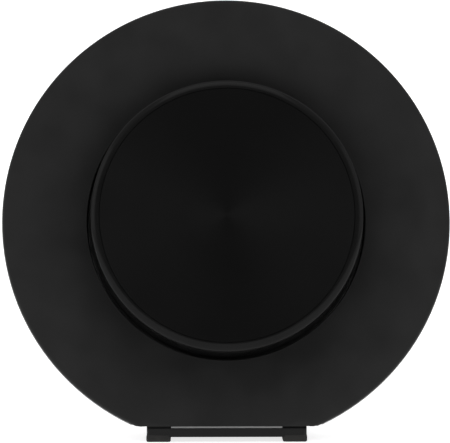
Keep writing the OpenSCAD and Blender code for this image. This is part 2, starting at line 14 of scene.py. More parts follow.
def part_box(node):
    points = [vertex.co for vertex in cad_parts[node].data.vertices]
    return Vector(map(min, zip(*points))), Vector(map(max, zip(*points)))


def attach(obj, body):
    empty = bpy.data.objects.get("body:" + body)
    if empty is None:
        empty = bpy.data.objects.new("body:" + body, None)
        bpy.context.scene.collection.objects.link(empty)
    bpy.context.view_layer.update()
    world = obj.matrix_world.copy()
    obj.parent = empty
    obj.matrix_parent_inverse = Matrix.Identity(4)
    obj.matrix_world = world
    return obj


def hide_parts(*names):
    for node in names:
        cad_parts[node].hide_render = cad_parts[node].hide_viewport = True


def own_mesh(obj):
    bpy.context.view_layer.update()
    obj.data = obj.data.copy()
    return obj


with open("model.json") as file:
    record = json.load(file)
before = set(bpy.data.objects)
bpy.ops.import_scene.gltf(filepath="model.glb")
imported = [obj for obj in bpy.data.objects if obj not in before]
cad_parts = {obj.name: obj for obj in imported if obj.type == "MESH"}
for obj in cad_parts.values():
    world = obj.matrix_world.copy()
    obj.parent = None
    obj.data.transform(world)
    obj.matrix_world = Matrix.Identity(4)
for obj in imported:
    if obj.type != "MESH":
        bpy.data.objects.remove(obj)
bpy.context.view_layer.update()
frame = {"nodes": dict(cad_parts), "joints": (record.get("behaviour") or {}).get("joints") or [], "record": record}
nodes = frame["nodes"]

# %% [markdown]
# The disc leans back, so its own frame is tilted: X to the right, Y up the face, and W out of the face.
# The dial's joint says where that frame is, because its axis is W and its point lies on the bearing's
# middle. Turned pieces are made upright in that frame, and one matrix then puts them in their place.

# %% The tilted frame of the disc
MM = 0.001
RACE_MID = 2.5 * MM            # height of the bearing's middle above the plane of the disc's rim
dial_joint = next(j for j in frame["joints"] if j["name"] == "dial_turn")
out_axis = Vector(dial_joint["axis"]).normalized()
lean = math.atan2(out_axis.z, -out_axis.y)
disc_centre = Vector(dial_joint["pos_m"]) - out_axis * RACE_MID
tilt = Matrix.Translation(disc_centre) @ Matrix.Rotation(math.pi / 2 - lean, 4, "X")
to_disc = tilt.inverted()
print(f"the disc leans {math.degrees(lean):.1f} degrees; its centre is {disc_centre.z / MM:.1f} mm up")


# %% Read sizes off the CAD nodes
def reach(node):
    """Largest radius, lowest and highest W of a CAD node, in the disc's frame."""
    points = [to_disc @ v.co for v in nodes[node].data.vertices]
    heights = [p.z for p in points]
    return max(math.hypot(p.x, p.y) for p in points), min(heights), max(heights)


disc_r, cover_back, _ = reach("front_cover")
trim_r, trim_back, trim_front = reach("trim_ring")
dial_foot_r, skirt_w, dial_top = reach("dial_cap")
face_r, face_floor, face_top = reach("dial_face")
light_r, _, _ = reach("light_ring")
flat_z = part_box("front_cover")[0].z
LIGHT_PLAY = 0.2 * MM          # the light ring sits this loosely in the well
well_r = light_r + LIGHT_PLAY
print(f"disc radius {disc_r / MM:.1f}, dial {dial_foot_r / MM:.1f}, well {well_r / MM:.1f} mm")
print(f"the flat over the foot is at {flat_z / MM:.1f} mm")


# %% [markdown]
# ## Helpers for modelling
# A turned piece is the lathe work of this object. On a real lathe an outline is swept round an axis. Here
# a circle of edges is extruded and resized from one point of the outline to the next, which is the same
# thing done by hand. A radius near zero closes the piece at its axis, once its doubles are merged.

# %% Turning a piece
TURN_STEPS = 256
AXIS_R = 1e-6                  # as good as zero, but it can still be resized


def select_only(piece):
    bpy.ops.object.select_all(action="DESELECT")
    piece.select_set(True)
    bpy.context.view_layer.objects.active = piece


def arc(centre, radius, start, end, steps):
    """Points of an arc, in degrees, as (radius, height) pairs of an outline."""
    angles = [math.radians(start + (end - start) * i / steps) for i in range(steps + 1)]
    return [(centre[0] + radius * math.cos(a), centre[1] + radius * math.sin(a)) for a in angles]


def turned(name, outline, steps=TURN_STEPS):
    bpy.ops.object.select_all(action="DESELECT")
    bpy.ops.mesh.primitive_circle_add(vertices=steps, radius=outline[0][0])
    piece = bpy.context.object
    piece.name = piece.data.name = name
    bpy.ops.object.mode_set(mode="EDIT")
    bpy.ops.mesh.select_mode(type="VERT")
    bpy.ops.mesh.select_all(action="SELECT")
    bpy.ops.transform.translate(value=(0, 0, outline[0][1]))
    for (r0, w0), (r1, w1) in zip(outline, outline[1:]):
        bpy.ops.mesh.extrude_region_move(TRANSFORM_OT_translate={"value": (0, 0, w1 - w0)})
        bpy.ops.transform.resize(value=(r1 / r0, r1 / r0, 1), center_override=(0, 0, 0))
    bpy.ops.mesh.select_all(action="SELECT")
    bpy.ops.mesh.remove_doubles(threshold=2 * AXIS_R)
    bpy.ops.mesh.normals_make_consistent(inside=False)
    bpy.ops.object.mode_set(mode="OBJECT")
    return piece


# %% Putting a piece in its place and shading it
SMOOTH_ANGLE = math.radians(32)


def place(piece, where=tilt):
    """Moves a piece from the frame it was made in to the row frame, and applies that to its mesh."""
    select_only(piece)
    piece.matrix_world = where
    bpy.ops.object.transform_apply(location=True, rotation=True, scale=True)
    return piece


def shade(piece, angle=SMOOTH_ANGLE):
    select_only(piece)
    bpy.ops.object.shade_smooth_by_angle(angle=angle)
    return piece


def soften(piece, width, segments=2, angle=35):
    """Breaks the sharp edges with a small bevel, as moulding and machining leave them."""
    select_only(piece)
    bevel = piece.modifiers.new("edge", "BEVEL")
    bevel.width = width
    bevel.segments = segments
    bevel.limit_method = "ANGLE"
    bevel.angle_limit = math.radians(angle)
    bpy.ops.object.modifier_apply(modifier=bevel.name)
    return piece


def paint(piece, material):
    """Gives a piece one finish, and takes off what a copy of a CAD node came with."""
    piece.data.materials.clear()
    piece.data.materials.append(material)


def fit(piece, body, slot, *stands_for):
    """Says what moves a piece, and hides the CAD nodes it stands for. Its slot is not used."""
    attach(piece, body)
    if stands_for:
        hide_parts(*stands_for)
    print(f"{piece.name}: {len(piece.data.polygons)} faces, rides on {body}")
    return piece


# %% [markdown]
# Some CAD shapes are already right but have knife-sharp edges and loose triangles. A copy of such a node
# is merged into one skin, its flat parts are dissolved into single faces, and its edges are softened.

# %% Refining a copy of a CAD node
FLAT_ANGLE = math.radians(0.6)


def refined(node, width=0, segments=2):
    select_only(nodes[node])
    bpy.ops.object.duplicate()
    piece = bpy.context.object
    piece.parent = None
    piece.name = piece.data.name = node + "_body"
    for key in list(piece.keys()):
        if key.startswith("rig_"):
            del piece[key]
    if piece.data.has_custom_normals:
        bpy.ops.mesh.customdata_custom_splitnormals_clear()
    bpy.ops.object.mode_set(mode="EDIT")
    bpy.ops.mesh.select_all(action="SELECT")
    bpy.ops.mesh.remove_doubles(threshold=2e-6)
    bpy.ops.mesh.dissolve_limited(angle_limit=FLAT_ANGLE)
    bpy.ops.object.mode_set(mode="OBJECT")
    if width:
        soften(piece, width, segments)
    weigh = piece.modifiers.new("weigh", "WEIGHTED_NORMAL")
    weigh.keep_sharp = True
    shade(piece)
    select_only(piece)
    bpy.ops.object.modifier_apply(modifier=weigh.name)
    return piece


# %% [markdown]
# ## Helpers for materials
# No real surface is one flat colour. Every finish here has a slow mottle in its colour, a change of gloss
# with it, and a fine grain in its relief. The patterns read Object coordinates, so they are measured in
# metres and stay at their real scale.

# %% A finish with mottle, gloss change and grain
def node_of(tree, kind, **values):
    made = tree.nodes.new(kind)
    for key, value in values.items():
        if key in made.inputs:
            made.inputs[key].default_value = value
        else:
            setattr(made, key, value)
    return made


def shader(name, roughness, metallic=0.0, specular=0.5, anisotropic=0.0):
    material = bpy.data.materials.new(name)
    material.use_nodes = True
    surface = material.node_tree.nodes["Principled BSDF"]
    surface.inputs["Roughness"].default_value = roughness
    surface.inputs["Metallic"].default_value = metallic
    surface.inputs["Specular IOR Level"].default_value = specular
    surface.inputs["Anisotropic"].default_value = anisotropic
    return material, material.node_tree, surface


def noise(tree, coordinates, scale, detail=3.0, roughness=0.55):
    made = node_of(tree, "ShaderNodeTexNoise", Scale=scale, Detail=detail, Roughness=roughness)
    tree.links.new(coordinates, made.inputs["Vector"])
    return made.outputs["Fac"]


def spread(tree, value, low, high, start=0.3, end=0.7):
    made = node_of(tree, "ShaderNodeMapRange")
    for key, number in (("From Min", start), ("From Max", end), ("To Min", low), ("To Max", high)):
        made.inputs[key].default_value = number
    tree.links.new(value, made.inputs["Value"])
    return made.outputs["Result"]


def mix_colours(tree, factor, first, second):
    made = node_of(tree, "ShaderNodeMix", data_type="RGBA")
    made.inputs["A"].default_value = (*first, 1)
    made.inputs["B"].default_value = (*second, 1)
    tree.links.new(factor, made.inputs["Factor"])
    return next(o for o in made.outputs if o.type == "RGBA")


def relief(tree, height, distance, strength=1.0):
    made = node_of(tree, "ShaderNodeBump", Strength=strength, Distance=distance)
    tree.links.new(height, made.inputs["Height"])
    return made.outputs["Normal"]


def finish_of(name, colour, second, roughness, gloss_change=0.06, mottle=70, grain=1500,
              depth=0.01 * MM, strength=0.5, **shine):
    material, tree, surface = shader(name, roughness, **shine)
    spot = node_of(tree, "ShaderNodeTexCoord").outputs["Object"]
    slow = noise(tree, spot, mottle)
    fine = noise(tree, spot, grain, 2.0)
    tint = mix_colours(tree, spread(tree, slow, 0, 1), colour, second)
    gloss = spread(tree, slow, roughness - gloss_change, roughness + gloss_change)
    tree.links.new(tint, surface.inputs["Base Color"])
    tree.links.new(gloss, surface.inputs["Roughness"])
    tree.links.new(relief(tree, fine, depth, strength), surface.inputs["Normal"])
    return material


def grey(value, warm=0.0):
    return (value * (1 + warm), value, value * (1 - warm))


# %% [markdown]
# ## Black finishes of the outside
# The front cover is satin black plastic with a fine moulded texture. The dial's rim is smoother, so it
# shows a line of light. The spun face has fine rings cut round its axis: light spreads across the rings,
# never along them, which draws soft bright cones from the middle. The shader calls that anisotropy, and
# it needs to know the rings' direction, which is worked out from the axis and each point's place.

# %% Cover, rim and foot finishes
cover_black = finish_of("satin_black_cover", grey(0.0135), grey(0.0175), 0.5, 0.04, mottle=90, grain=1100,
                        depth=0.02 * MM, strength=0.35, specular=0.2)
rim_black = finish_of("smooth_black_rim", grey(0.006), grey(0.008), 0.15, 0.03, mottle=60, grain=2600,
                      depth=0.004 * MM, specular=0.085)
rear_black = finish_of("textured_black_rear", grey(0.0115), grey(0.0165), 0.58, 0.06, mottle=80, grain=1300,
                       depth=0.04 * MM, strength=0.6, specular=0.25)
foot_black = finish_of("satin_black_foot", grey(0.006), grey(0.009), 0.45, 0.06, mottle=120, grain=1600,
                       depth=0.015 * MM, specular=0.2)
pad_black = finish_of("soft_black_rubber", grey(0.02), grey(0.032, 0.04), 0.85, 0.05, mottle=400, grain=3200,
                      depth=0.03 * MM, strength=0.7, specular=0.25)
button_black = finish_of("satin_black_button", grey(0.03), grey(0.04), 0.35, 0.05, grain=2200, specular=0.5)


# %% Spun black face
def ring_distance(tree, spot):
    """Distance of a point from the disc's axis, and the direction of the ring that passes through it."""
    away = node_of(tree, "ShaderNodeVectorMath", operation="SUBTRACT")
    away.inputs[1].default_value = disc_centre
    tree.links.new(spot, away.inputs[0])
    along = node_of(tree, "ShaderNodeVectorMath", operation="CROSS_PRODUCT")
    along.inputs[0].default_value = out_axis
    tree.links.new(away.outputs["Vector"], along.inputs[1])
    far = node_of(tree, "ShaderNodeVectorMath", operation="LENGTH")
    tree.links.new(along.outputs["Vector"], far.inputs[0])
    turn = node_of(tree, "ShaderNodeVectorTransform", vector_type="VECTOR",
                   convert_from="OBJECT", convert_to="WORLD")
    tree.links.new(along.outputs["Vector"], turn.inputs["Vector"])
    return far.outputs["Value"], turn.outputs["Vector"]


def spun(name, colour, second, roughness, rings, depth, **shine):
    material, tree, surface = shader(name, roughness, **shine)
    spot = node_of(tree, "ShaderNodeTexCoord").outputs["Object"]
    distance, direction = ring_distance(tree, spot)
    cut = node_of(tree, "ShaderNodeTexNoise", noise_dimensions="1D", Scale=rings, Detail=4.0)
    tree.links.new(distance, cut.inputs["W"])
    slow = noise(tree, spot, 45)
    tint = mix_colours(tree, spread(tree, cut.outputs["Fac"], 0, 1), colour, second)
    tree.links.new(tint, surface.inputs["Base Color"])
    tree.links.new(spread(tree, slow, roughness - 0.03, roughness + 0.03), surface.inputs["Roughness"])
    tree.links.new(relief(tree, cut.outputs["Fac"], depth), surface.inputs["Normal"])
    tree.links.new(direction, surface.inputs["Tangent"])
    return material


face_black = spun("spun_black_face", grey(0.0036), grey(0.0052), 0.34, 2600, 0.0015 * MM,
                  specular=0.1, anisotropic=0.85)
trim_silver = spun("turned_silver_trim", grey(0.62), grey(0.74), 0.3, 3000, 0.002 * MM,
                   metallic=1.0, anisotropic=0.6)
print("outside finishes:", [m.name for m in (cover_black, rim_black, face_black, trim_silver, foot_black)])

# %% [markdown]
# ## Front cover
# The real cover is one moulding: a level band at the rim, a shallow dish that steepens towards the dial,
# and a deep round well for it. It could be modelled by sculpting a grid, but it is all rings, so it is
# turned. The flat at the bottom is level with the table, so it is cut after the tilt.

# %% Outline of the front cover
EDGE_ROUND = 0.8 * MM
DISH_DEPTH = 2.5 * MM
DISH_BAND = 4 * MM
PLATE_T = 2 * MM
LIP_T = 2.6 * MM
WELL_WALL = 1.8 * MM
WELL_LIP = 0.3 * MM
TRIM_SEAT = 3 * MM             # width of the step that the trim ring lies in
LIP_IN = 8 * MM                # the thicker lip ends this far in from the edge
DISH_STEPS = 40
dish_out_r = disc_r - DISH_BAND
well_out_r = well_r + WELL_WALL


def dish(radius):
    return -DISH_DEPTH * ((dish_out_r - radius) / (dish_out_r - well_r)) ** 2


dish_radii = [well_r + WELL_LIP + (dish_out_r - well_r - WELL_LIP) * i / DISH_STEPS
              for i in range(DISH_STEPS + 1)]
lip_w = dish(well_r + WELL_LIP)
cover_outline = (
    [(well_r, cover_back), (well_r, lip_w - WELL_LIP)]
    + arc((well_r + WELL_LIP, lip_w - WELL_LIP), WELL_LIP, 165, 100, 4)
    + [(r, dish(r)) for r in dish_radii]
    + arc((disc_r - EDGE_ROUND, -EDGE_ROUND), EDGE_ROUND, 90, 0, 8)
    + [(disc_r, trim_front), (trim_r - TRIM_SEAT, trim_front)]
    + [(trim_r - TRIM_SEAT, -LIP_T), (disc_r - LIP_IN, -LIP_T)]
    + [(r, dish(r) - PLATE_T) for r in reversed(dish_radii) if well_out_r < r < disc_r - LIP_IN]
    + [(well_out_r, cover_back), (well_r, cover_back)]
)
print(f"the front cover's outline has {len(cover_outline)} points")


# %% Turn the cover and cut its flat
def cut_level(piece, height):
    """Cuts off what is below a height above the table, and closes the cut."""
    select_only(piece)
    bpy.ops.object.mode_set(mode="EDIT")
    bpy.ops.mesh.select_all(action="SELECT")
    bpy.ops.mesh.bisect(plane_co=(0, 0, height), plane_no=(0, 0, 1), use_fill=True, clear_inner=True)
    bpy.ops.mesh.select_all(action="SELECT")
    bpy.ops.mesh.normals_make_consistent(inside=False)
    bpy.ops.object.mode_set(mode="OBJECT")
    return piece


FRONT_EDGE = 0.25 * MM
front = cut_level(place(turned("front_cover_shell", cover_outline)), flat_z)
soften(front, FRONT_EDGE, segments=3, angle=50)


# %% Screw bosses behind the cover
def joined(name, made):
    bpy.ops.object.select_all(action="DESELECT")
    for piece in made:
        piece.select_set(True)
    bpy.context.view_layer.objects.active = made[0]
    bpy.ops.object.join()
    whole = bpy.context.object
    whole.name = whole.data.name = name
    return whole


def on_circle(radius, angle):
    return Matrix.Rotation(math.radians(angle), 4, "Z") @ Matrix.Translation((radius, 0, 0))


BOSS_STEPS = 32


def boss(radius, angle, outer, bore, low, high, floor_w):
    """A round boss with a blind pilot hole that opens at its low end."""
    outline = [(AXIS_R, floor_w), (bore, floor_w), (bore, low), (outer, low), (outer, high), (AXIS_R, high)]
    return place(turned("boss", outline, BOSS_STEPS), tilt @ on_circle(radius, angle))


COVER_SCREW_R = 58.8 * MM
COVER_SCREW_ANGLES = (38, 142, 218, 322)
COVER_BOSS = (3.1 * MM, 1.45 * MM)          # radius of the boss and of its pilot hole
CHASSIS_SCREW_R = 47.4 * MM
CHASSIS_SCREW_ANGLES = (0, 90, 180, 270)
CHASSIS_BOSS = (2.6 * MM, 1.05 * MM)
PILOT_DEPTH = 5.5 * MM
INTO_PLATE = 1 * MM                         # a boss ends this far inside the cover's plate
PAST_TRIM = 2.2 * MM                        # and starts this far behind the trim ring
joint_w = trim_back - PAST_TRIM
bosses = [boss(COVER_SCREW_R, a, *COVER_BOSS, joint_w, dish(COVER_SCREW_R) - INTO_PLATE, trim_front)
          for a in COVER_SCREW_ANGLES]
bosses += [boss(CHASSIS_SCREW_R, a, *CHASSIS_BOSS, cover_back, dish(CHASSIS_SCREW_R) - INTO_PLATE,
                cover_back + PILOT_DEPTH) for a in CHASSIS_SCREW_ANGLES]
front = joined("front_cover_shell", [front] + bosses)
shade(front)
paint(front, cover_black)
fit(front, "housing", "cover_black", "front_cover")

# %% [markdown]
# ## Dial
# The dial is a deep cap with a broad rounded rim. A shallow seat in its top takes a thin spun disc. The
# cap's inside holds the bearing's outer ring, so the outline goes down into it too. A bevel modifier
# could round the rim, but the real rim has two curves, a broad one and a tight one at the wall, and the
# tight one draws the thin line of light. Both are written into the outline, where they meet smoothly.

# %% Dial cap
DIAL_EDGE = 2.5 * MM           # width of the rounded band
BROW_R = 3 * MM                # its broad curve
CREASE_R = 0.4 * MM            # the tighter curve at the wall, which holds a thin line of light
crease_turn = math.degrees(math.acos((DIAL_EDGE - CREASE_R) / (BROW_R - CREASE_R)))
crease_drop = BROW_R - (BROW_R - CREASE_R) * math.sin(math.radians(crease_turn))
DRAFT = 1 * MM                 # the wall narrows this much towards the face
DIAL_WALL = 2 * MM
DIAL_TOP_T = 2.5 * MM
SKIRT_ROUND = 0.3 * MM
RIB_OUT = 38.2 * MM            # outer radius of the rib that holds the bearing's outer ring
SHOULDER = 0.8 * MM            # the step that the ring rests on
FACE_PLAY = 0.1 * MM           # the thin face lies this loosely in its seat
race_out_r, race_lo, race_hi = reach("outer_race")
dial_r = dial_foot_r - DRAFT
inside_r = dial_r - DIAL_WALL
under_top = dial_top - DIAL_TOP_T
seat_r = face_r + FACE_PLAY
cap_outline = (
    [(AXIS_R, under_top), (race_out_r - SHOULDER, under_top), (race_out_r - SHOULDER, race_hi)]
    + [(race_out_r, race_hi), (race_out_r, race_lo), (RIB_OUT, race_lo), (RIB_OUT, under_top)]
    + [(inside_r, under_top), (inside_r, skirt_w)]
    + arc((dial_foot_r - SKIRT_ROUND, skirt_w + SKIRT_ROUND), SKIRT_ROUND, -90, 0, 3)
    + arc((dial_r - CREASE_R, dial_top - crease_drop), CREASE_R, 0, crease_turn, 5)
    + arc((dial_r - DIAL_EDGE, dial_top - BROW_R), BROW_R, crease_turn, 90, 16)[1:]
    + [(seat_r, dial_top), (seat_r, face_floor), (AXIS_R, face_floor)]
)
cap = shade(place(turned("dial_rim_and_cap", cap_outline)))
paint(cap, rim_black)
fit(cap, "dial", "dial_black", "dial_cap")

# %% Spun face of the dial
CHAMFER = 0.12 * MM
FACE_RINGS = 8
face_outline = (
    [(AXIS_R, face_floor), (face_r, face_floor), (face_r, face_top - CHAMFER), (face_r - CHAMFER, face_top)]
    + [(face_r * k / FACE_RINGS, face_top) for k in range(FACE_RINGS - 1, 0, -1)] + [(AXIS_R, face_top)]
)
face = shade(place(turned("spun_dial_face", face_outline)), math.radians(20))   # keeps the chamfer crisp
paint(face, face_black)
fit(face, "dial", "face_spun", "dial_face")

# %% [markdown]
# ## Trim, rear cover and foot
# These shapes are right in the CAD model, with every hole and slot where it belongs. Modelling them
# afresh would risk moving a hole, so refined copies are used, with moulded edges.

# %% Trim ring, rear cover, foot
for name, edge, segments, finish, slot in (
    ("trim_ring", 0.2 * MM, 2, trim_silver, "trim_silver"),
    ("rear_cover", 0.18 * MM, 2, rear_black, "rear_black"),
    ("foot", 0.3 * MM, 3, foot_black, "foot_black"),
):
    moulded = refined(name, edge, segments)
    paint(moulded, finish)
    fit(moulded, "housing", slot, name)

# %% [markdown]
# ## Rubber pads
# A pad is a small pressed block whose sides swell a little under load. A bevelled cube would have
# straight sides, so each pad starts as a flat plane with rounded corners and is drawn up in steps, a
# little wider at its middle. What repeats is made by one function, so the four pads are alike.

# %% One pad, four places
PAD_CORNER = 1 * MM
PAD_ROUND = math.radians(50)
# height in mm, and width as a share of the full width
PAD_STEPS = [(0.0, 0.955), (0.2, 0.985), (0.5, 0.998), (0.9, 1.0), (1.3, 0.998), (1.7, 0.99), (2.1, 0.97)]
pads_lo, pads_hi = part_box("foot_pads")
PAD_SIZE = (7.6 * MM, 8 * MM)


def pad_at(x, y):
    bpy.ops.object.select_all(action="DESELECT")
    bpy.ops.mesh.primitive_plane_add(size=1)
    piece = bpy.context.object
    bpy.ops.object.mode_set(mode="EDIT")
    bpy.ops.mesh.select_all(action="SELECT")
    bpy.ops.transform.resize(value=(PAD_SIZE[0], PAD_SIZE[1], 1))
    bpy.ops.mesh.bevel(affect="VERTICES", offset=PAD_CORNER, segments=6)
    first = PAD_STEPS[0][1]
    bpy.ops.transform.resize(value=(first, first, 1))
    for (h0, s0), (h1, s1) in zip(PAD_STEPS, PAD_STEPS[1:]):
        bpy.ops.mesh.select_mode(type="FACE")
        bpy.ops.mesh.extrude_region_move(TRANSFORM_OT_translate={"value": (0, 0, (h1 - h0) * MM)})
        bpy.ops.transform.resize(value=(s1 / s0, s1 / s0, 1))
    bpy.ops.mesh.select_all(action="SELECT")
    bpy.ops.mesh.normals_make_consistent(inside=False)
    bpy.ops.object.mode_set(mode="OBJECT")
    return place(piece, Matrix.Translation((x, y, 0)))


pad_x = pads_hi.x - PAD_SIZE[0] / 2
pad_ys = (pads_lo.y + PAD_SIZE[1] / 2, pads_hi.y - PAD_SIZE[1] / 2)
pads = [pad_at(x, y) for x in (-pad_x, pad_x) for y in pad_ys]
rubber = joined("rubber_foot_pads", pads)
shade(rubber, PAD_ROUND)
paint(rubber, pad_black)
fit(rubber, "housing", "pad_rubber", "foot_pads")

# %% [markdown]
# ## Reset button
# A small push button sits beside the sockets at the back. It has a rounded rim, a shallow dish for the
# fingertip, and a flange that keeps it from falling out. All of these are rings round one axis, so it is
# turned like the dial, and then moved to its place. It rides on its own body, so it can be pressed.

# %% Turn the button
BUTTON_AT = (18 * MM, -26 * MM)
BUTTON_R = 2.45 * MM
BUTTON_ROUND = 0.35 * MM
FINGER_DISH = [(AXIS_R, 0.12 * MM), (0.9 * MM, 0.09 * MM), (1.6 * MM, 0.02 * MM)]    # radius and depth
FLANGE_IN = 2.7 * MM           # how far the flange lies behind the button's face
FLANGE_OUT = 1 * MM
FLANGE_T = 0.8 * MM
_, button_out, button_in = reach("reset_button")
flange_w = button_out + FLANGE_IN
button_outline = (
    [(r, button_out + depth) for r, depth in FINGER_DISH]
    + arc((BUTTON_R - BUTTON_ROUND, button_out + BUTTON_ROUND), BUTTON_ROUND, -90, 0, 6)
    + [(BUTTON_R, flange_w), (BUTTON_R + FLANGE_OUT, flange_w)]
    + [(BUTTON_R + FLANGE_OUT, flange_w + FLANGE_T), (BUTTON_R / 2, flange_w + FLANGE_T)]
    + [(BUTTON_R / 2, button_in), (AXIS_R, button_in)]
)
button = turned("round_reset_button", button_outline, 64)
shade(place(button, tilt @ Matrix.Translation((*BUTTON_AT, 0))))
paint(button, button_black)
fit(button, "reset_button", "button_black", "reset_button")

# %% [markdown]
# ## Springs and flexible film
# Three coil springs push the dial back out. A circle of wire is swept along a screw path for each. When
# the dial is pressed they shorten. A flexible film carries the turn sensor's signals. Springs and film
# each get a mesh of their own.

# %% Coil springs
WIRE_R = 0.3 * MM
SPRING_R = 2.9 * MM
SPRING_LENGTH = 7.6 * MM
SPRING_TURNS = 5
SPRING_CIRCLE = 20 * MM
WIRE_SIDES = 12
STEPS_PER_TURN = 32


def coil(angle):
    bpy.ops.object.select_all(action="DESELECT")
    bpy.ops.mesh.primitive_circle_add(vertices=WIRE_SIDES, radius=WIRE_R, location=(SPRING_R, 0, WIRE_R),
                                      rotation=(math.pi / 2, 0, 0))
    wire = bpy.context.object
    bpy.ops.object.transform_apply(location=True, rotation=True, scale=True)
    sweep = wire.modifiers.new("sweep", "SCREW")
    sweep.axis = "Z"
    sweep.angle = 2 * math.pi * SPRING_TURNS
    sweep.screw_offset = SPRING_LENGTH - 2 * WIRE_R
    sweep.steps = sweep.render_steps = STEPS_PER_TURN * SPRING_TURNS
    sweep.use_merge_vertices = False
    bpy.ops.object.modifier_apply(modifier=sweep.name)
    bpy.ops.object.mode_set(mode="EDIT")
    bpy.ops.mesh.select_all(action="SELECT")
    bpy.ops.mesh.fill_holes(sides=0)
    bpy.ops.mesh.normals_make_consistent(inside=False)
    bpy.ops.object.mode_set(mode="OBJECT")
    return place(wire, tilt @ on_circle(SPRING_CIRCLE, angle) @ Matrix.Translation((0, 0, cover_back)))


springs = shade(joined("coil_springs", [coil(a) for a in (30, 150, 270)]), math.radians(60))
fit(springs, "housing", "spring_steel", "press_springs")
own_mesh(springs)

# %% Flexible film
film = refined("encoder_flex")
fit(film, "housing", "flex_amber", "encoder_flex")
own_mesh(film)

# %% [markdown]
# ## Sockets
# The sockets' shells are softened copies, because a plug has to fit them exactly. What makes them look
# real is the gold inside. Eight slanted springs are added in the network socket, on the side away from
# the latch, and short strips on the power socket's tongue. Each is a thin bar made by one function.

# %% Socket shells and contacts
SOCKET_X, SOCKET_Y, POWER_X = -15 * MM, -26 * MM, 4 * MM
PIN_PITCH, STRIP_PITCH = 1.02 * MM, 1.0 * MM
PIN_SIZE = (0.4 * MM, 0.25 * MM, 7.5 * MM)
PIN_UP, PIN_IN = 3.1 * MM, 6 * MM          # from the socket's middle, and in from its mouth
PIN_SLANT = math.radians(16)
STRIP_SIZE = (0.4 * MM, 0.06 * MM, 3.6 * MM)
STRIP_UP, STRIP_IN = 0.37 * MM, 3 * MM
socket = refined("ethernet_socket", 0.15 * MM)
fit(socket, "housing", "socket_metal", "ethernet_socket")
port = refined("power_socket", 0.08 * MM)
fit(port, "housing", "socket_metal", "power_socket")
mouth_w = reach("ethernet_socket")[1]


def bar(at, size, slant=0.0):
    bpy.ops.object.select_all(action="DESELECT")
    bpy.ops.mesh.primitive_cube_add(size=1)
    piece = bpy.context.object
    bpy.ops.transform.resize(value=size)
    bpy.ops.object.transform_apply(location=True, rotation=True, scale=True)
    return place(piece, tilt @ Matrix.Translation(at) @ Matrix.Rotation(slant, 4, "X"))


pins = [bar((SOCKET_X + (k - 3.5) * PIN_PITCH, SOCKET_Y + PIN_UP, mouth_w + PIN_IN), PIN_SIZE, PIN_SLANT)
        for k in range(8)]
strips = [bar((POWER_X + (k - 2.5) * STRIP_PITCH, SOCKET_Y + side * STRIP_UP, mouth_w + STRIP_IN), STRIP_SIZE)
          for k in range(6) for side in (-1, 1)]
contacts = joined("gold_contacts", pins + strips)
fit(contacts, "housing", "antenna_gold")

# %% [markdown]
# ## Everything inside
# The inner parts stay as the CAD model has them, and each gets the finish of what it is made of. They
# are seen only when the case is opened, but steel, brass, nylon and paper still look and shine
# differently. The finishes are kept in one table, under the names that the record gives its materials.

# %% Inside finishes
inside = {
    "chassis_metal": finish_of("stamped_aluminium", grey(0.5), grey(0.58), 0.38, 0.08, 50, 900, metallic=1.0),
    "led_white": finish_of("milky_led", (0.85, 0.83, 0.7), (0.9, 0.88, 0.78), 0.3, 0.03, 300, 2500),
    "light_smoke": finish_of("smoked_light_guide", grey(0.03), grey(0.04), 0.4, 0.04, 200, 2500),
    "part_black": finish_of("moulded_black_part", grey(0.02), grey(0.03), 0.5, 0.06, 200, 2400),
    "part_ivory": finish_of("ivory_plastic", (0.6, 0.57, 0.47), (0.66, 0.63, 0.54), 0.42, 0.05, 300, 2400),
    "spring_steel": finish_of("spring_wire", grey(0.45), grey(0.55), 0.3, 0.06, 300, 4000, metallic=1.0),
    "screw_steel": finish_of("zinc_plated_screw", grey(0.55), grey(0.66), 0.34, 0.06, 400, 4000, metallic=1.0),
    "screw_black": finish_of("black_oxide_screw", grey(0.03), grey(0.05), 0.4, 0.06, 400, 4000, metallic=0.6),
    "flex_amber": finish_of("amber_film", (0.42, 0.17, 0.02), (0.5, 0.22, 0.03), 0.25, 0.04, 300, 3000),
    "can_tin": finish_of("tin_plated_can", grey(0.6), grey(0.68), 0.3, 0.07, 160, 2000, metallic=1.0),
    "heat_blue": finish_of("soft_heat_pad", (0.25, 0.36, 0.48), (0.3, 0.42, 0.54), 0.8, 0.05, 300, 2600),
    "spreader_alu": finish_of("anodised_aluminium", grey(0.5), grey(0.56), 0.4, 0.06, 90, 1800, metallic=1.0),
    "socket_metal": finish_of("nickel_socket", grey(0.52), grey(0.62), 0.28, 0.06, 200, 2600, metallic=1.0),
    "magnet_steel": finish_of("plated_magnet", grey(0.3), grey(0.36), 0.36, 0.06, 200, 2600, metallic=1.0),
    "plate_steel": finish_of("zinc_plated_plate", grey(0.26), grey(0.34), 0.42, 0.06, 160, 2200, metallic=1.0),
    "cone_black": finish_of("pressed_paper_cone", grey(0.02), grey(0.034), 0.75, 0.05, 500, 2200, strength=0.9),
    "foam_black": finish_of("open_foam", grey(0.012), grey(0.03), 0.9, 0.04, 1500, 1900, strength=1.0),
    "antenna_gold": finish_of("gold_antenna", (0.75, 0.5, 0.18), (0.82, 0.58, 0.24), 0.3, 0.05, 200, 2600,
                              metallic=1.0),
    "carrier_nylon": finish_of("natural_nylon", (0.6, 0.58, 0.5), (0.66, 0.64, 0.57), 0.48, 0.05, 120, 1800),
    "race_steel": finish_of("ground_steel_race", grey(0.55), grey(0.62), 0.22, 0.04, 200, 5000, metallic=1.0),
    "ball_steel": finish_of("polished_ball", grey(0.68), grey(0.72), 0.08, 0.02, 300, 5000, metallic=1.0),
    "cage_brass": finish_of("pressed_brass_cage", (0.6, 0.42, 0.16), (0.68, 0.5, 0.22), 0.32, 0.06, 200, 3000,
                            metallic=1.0),
}
print(len(inside), "finishes for the inner parts")


